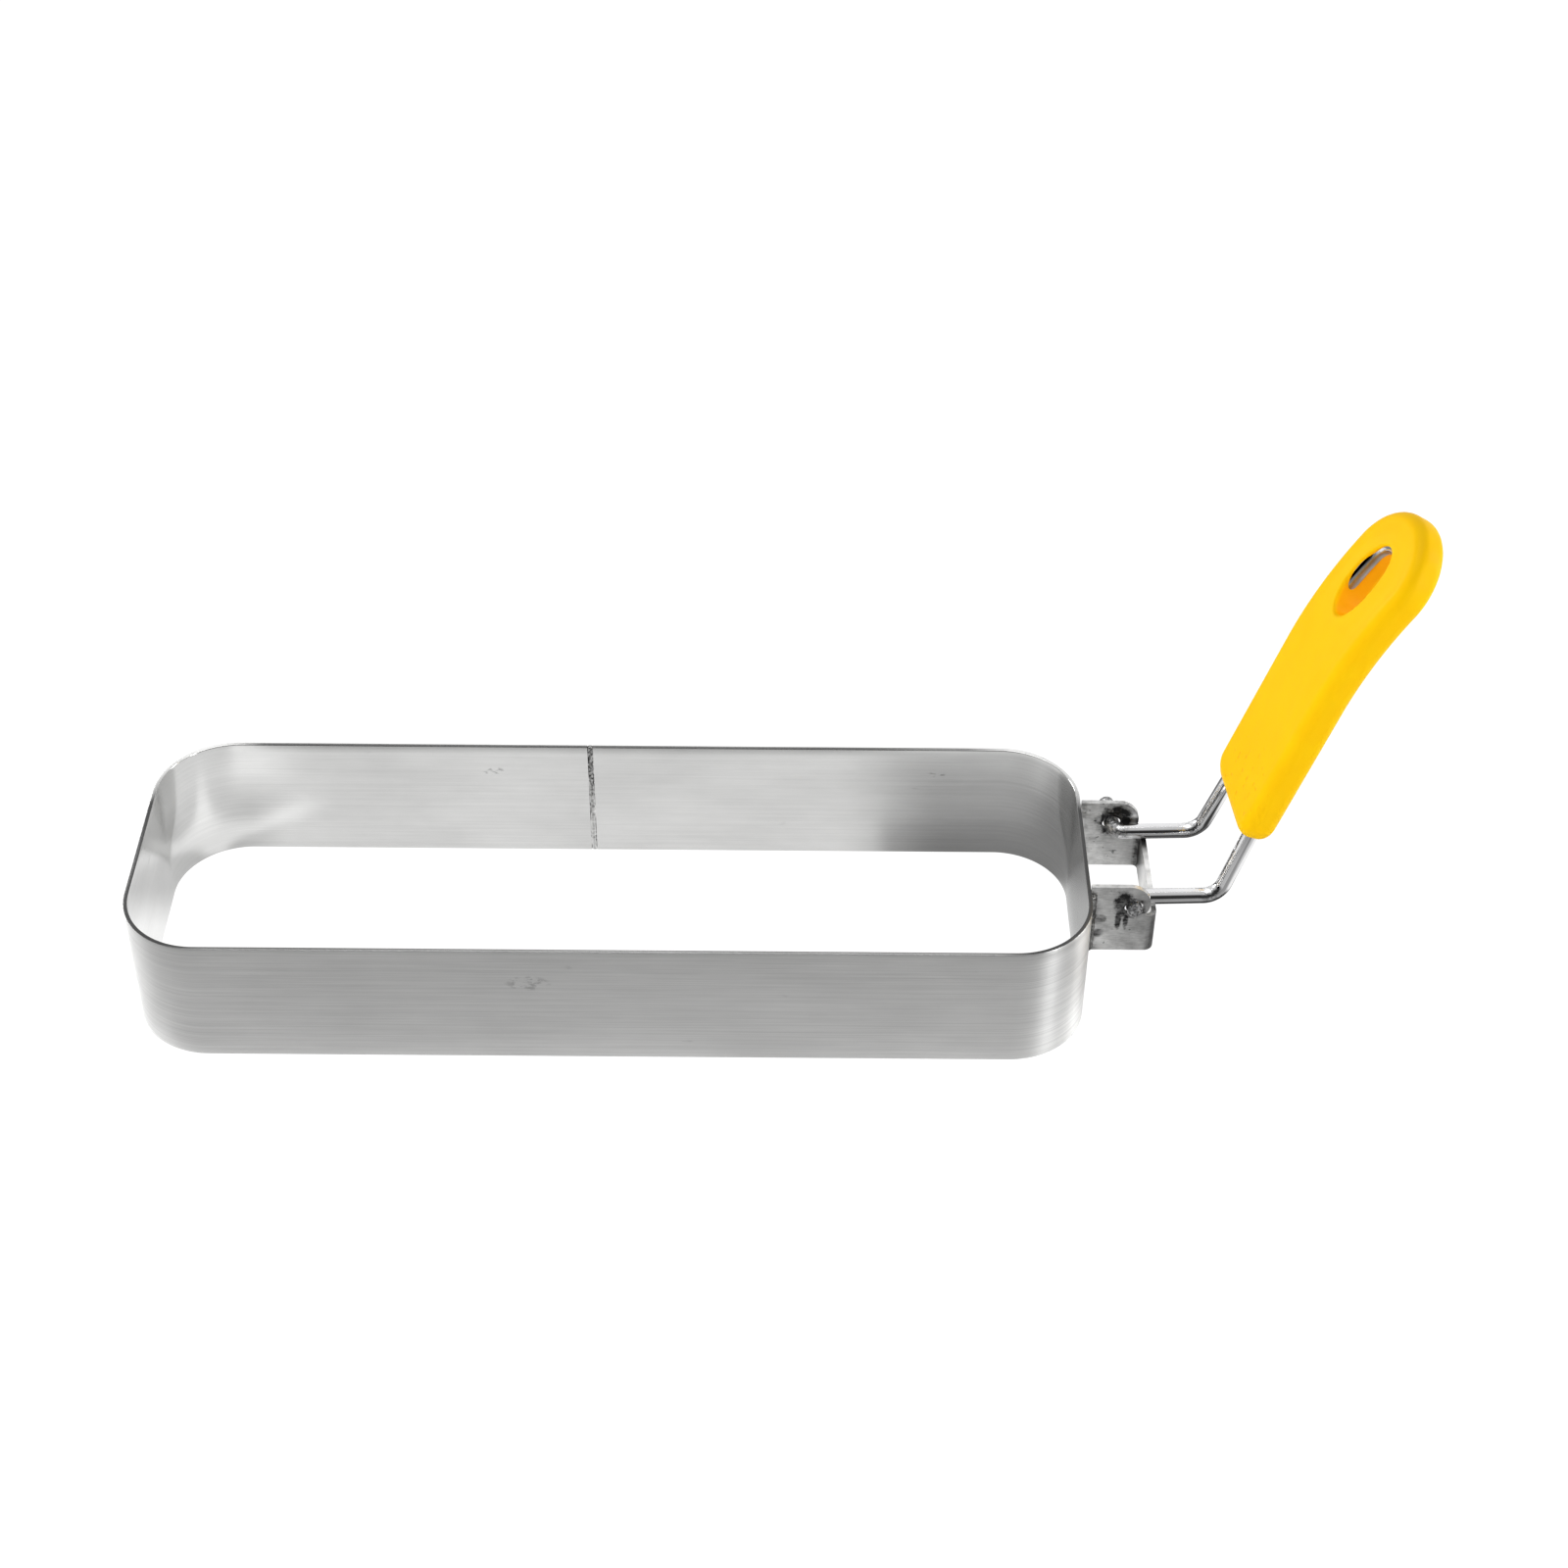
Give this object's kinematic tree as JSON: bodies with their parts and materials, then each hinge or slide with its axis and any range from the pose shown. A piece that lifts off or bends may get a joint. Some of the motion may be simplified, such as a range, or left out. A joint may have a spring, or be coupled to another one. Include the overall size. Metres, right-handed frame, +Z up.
{
  "type": "egg ring",
  "caption": "Rounded rectangular steel egg ring; a wire handle with a moulded grip and hang hole folds over the ring on a bracket at one end.",
  "frame": {"origin": "middle of the lower edge of the end wall that carries the bracket, where the ring rests on the hot plate", "axes": "+Z up, +X from the ring towards the handle, +Y across the ring"},
  "size_m": [0.3014, 0.0765, 0.1254],
  "materials": {
    "band_steel": "satin, fine brush lines along the strip",
    "bracket_steel": "satin, scuffed",
    "weld_steel": "rough weld bead",
    "wire_chrome": "bright plated",
    "grip_yellow": "soft gloss"
  },
  "bodies": {
    "ring": {"ring_band": "band_steel", "seam_weld": "weld_steel", "hinge_bracket": "bracket_steel", "bracket_weld_front": "weld_steel", "bracket_weld_rear": "weld_steel"},
    "handle": {"handle_wire": "wire_chrome", "grip": "grip_yellow"}
  },
  "joints": [
    {"name": "handle_pivot", "type": "hinge", "parent": "ring", "child": "handle", "pos_m": [0.0096, 0, 0.0291], "axis": [0.0872, -0.9962, 0], "range_deg": [0, 134]}
  ]
}
